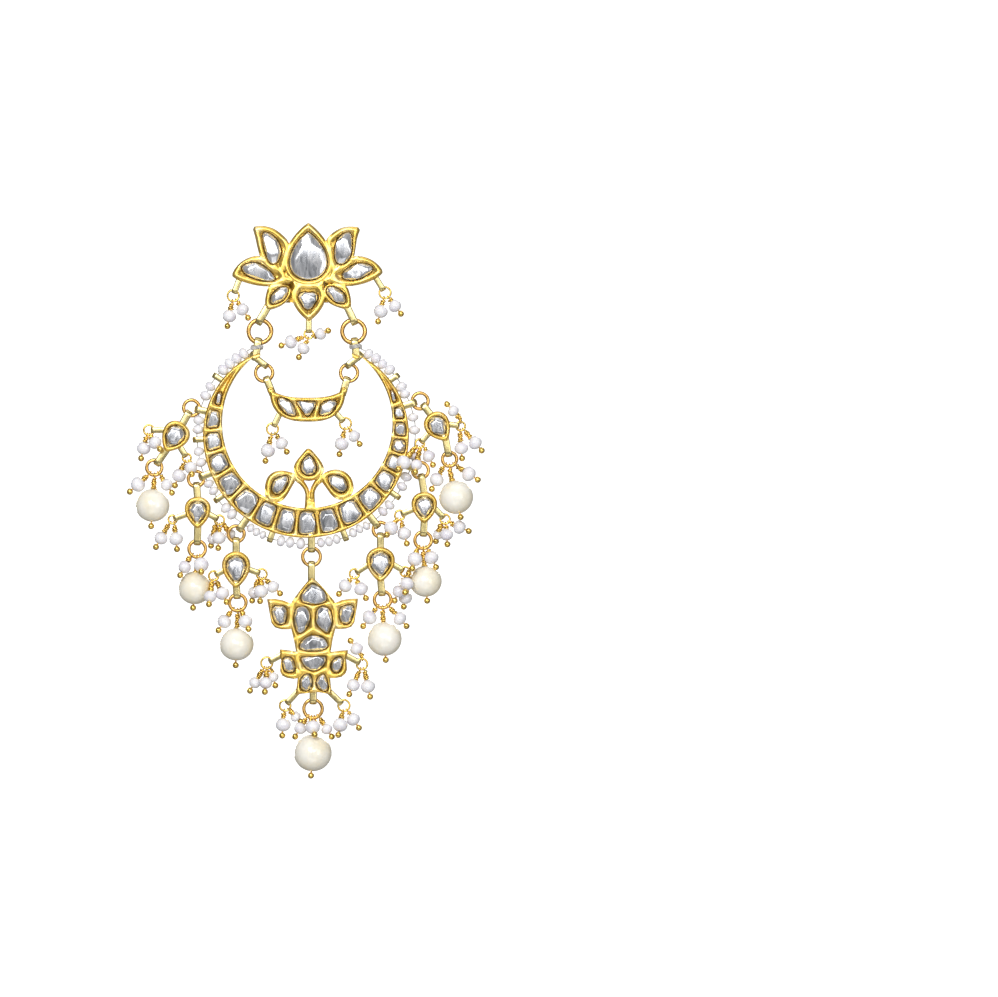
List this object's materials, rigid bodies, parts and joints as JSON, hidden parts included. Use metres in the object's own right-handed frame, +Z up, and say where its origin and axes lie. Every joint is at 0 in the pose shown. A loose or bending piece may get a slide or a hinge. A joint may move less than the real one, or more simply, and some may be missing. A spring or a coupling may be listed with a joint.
{
  "type": "dangle earring",
  "caption": "Hanging earring: a lotus over a crescent with a boat inside it, pear drops round it and a fish below, with pearls on head pins.",
  "frame": {"origin": "where the ear post leaves the lotus's back, the point at which it pins on the ear", "axes": "+Z up as worn, -Y the way the stones face, +Y along the ear post, +X to the right seen from the front"},
  "size_m": [0.0595, 0.0168, 0.0925],
  "materials": {
    "setting_gold": "burnished pure gold foil over an enamelled back",
    "wire_gold": "drawn gold wire",
    "link_gold": "plain rubbed gold",
    "clip_gold": "cast and filed gold, dulled in the hollows",
    "uncut_stone": "flat-cut clear stone over silver foil",
    "pearl": "nacre"
  },
  "bodies": {
    "lotus": {"lotus_setting": "setting_gold", "lotus_stones": "uncut_stone", "hinge_rod": "clip_gold", "lotus_rings": "wire_gold", "lotus_pearls": "pearl", "lotus_pins": "wire_gold"},
    "clutch": {"clutch": "clip_gold"},
    "lever": {"omega_lever": "clip_gold"},
    "crescent": {"crescent_setting": "setting_gold", "crescent_stones": "uncut_stone", "bud_stones": "uncut_stone", "main_link_left": "link_gold", "main_link_right": "link_gold", "seed_string_left": "pearl", "seed_string_right": "pearl", "pear_setting_1": "setting_gold", "pear_setting_2": "setting_gold", "pear_setting_3": "setting_gold", "pear_setting_4": "setting_gold", "pear_setting_5": "setting_gold", "pear_setting_6": "setting_gold", "pear_stones": "uncut_stone", "pear_link_1": "link_gold", "pear_link_2": "link_gold", "pear_link_3": "link_gold", "pear_link_4": "link_gold", "pear_link_5": "link_gold", "pear_link_6": "link_gold", "drop_ring_1": "link_gold", "drop_ring_2": "link_gold", "drop_ring_3": "link_gold", "drop_ring_4": "link_gold", "drop_ring_5": "link_gold", "drop_ring_6": "link_gold", "large_pearl_1": "pearl", "large_pearl_2": "pearl", "large_pearl_3": "pearl", "large_pearl_4": "pearl", "large_pearl_5": "pearl", "large_pearl_6": "pearl", "pear_rings": "wire_gold", "pear_pearls_left": "pearl", "pear_pearls_right": "pearl", "pear_pins_left": "wire_gold", "pear_pins_right": "wire_gold"},
    "boat": {"boat_setting": "setting_gold", "boat_stones": "uncut_stone", "boat_link_left": "link_gold", "boat_link_right": "link_gold", "boat_rings": "wire_gold", "boat_pearls": "pearl", "boat_pins": "wire_gold"},
    "fish": {"fish_setting": "setting_gold", "fish_stones": "uncut_stone", "fish_link": "link_gold", "fish_rings": "wire_gold", "fish_pearls": "pearl", "fish_large_pearl": "pearl", "fish_pins": "wire_gold"}
  },
  "joints": [
    {"name": "clutch_slide", "type": "slide", "parent": "lotus", "child": "clutch", "axis": [0, 1, 0], "range_m": [0, 0.012]},
    {"name": "lever_hinge", "type": "hinge", "parent": "lotus", "child": "lever", "pos_m": [0, 0.007, -0.0047], "axis": [1, 0, 0], "range_deg": [0, 35]},
    {"name": "crescent_swing", "type": "hinge", "parent": "lotus", "child": "crescent", "pos_m": [0, -0.0011, -0.00869], "axis": [1, 0, 0], "range_deg": [-40, 40]},
    {"name": "boat_swing", "type": "hinge", "parent": "crescent", "child": "boat", "pos_m": [0, -0.0011, -0.01606], "axis": [1, 0, 0], "range_deg": [-30, 30]},
    {"name": "fish_swing", "type": "hinge", "parent": "crescent", "child": "fish", "pos_m": [0.0005, -0.0011, -0.04666], "axis": [1, 0, 0], "range_deg": [-40, 40]}
  ]
}
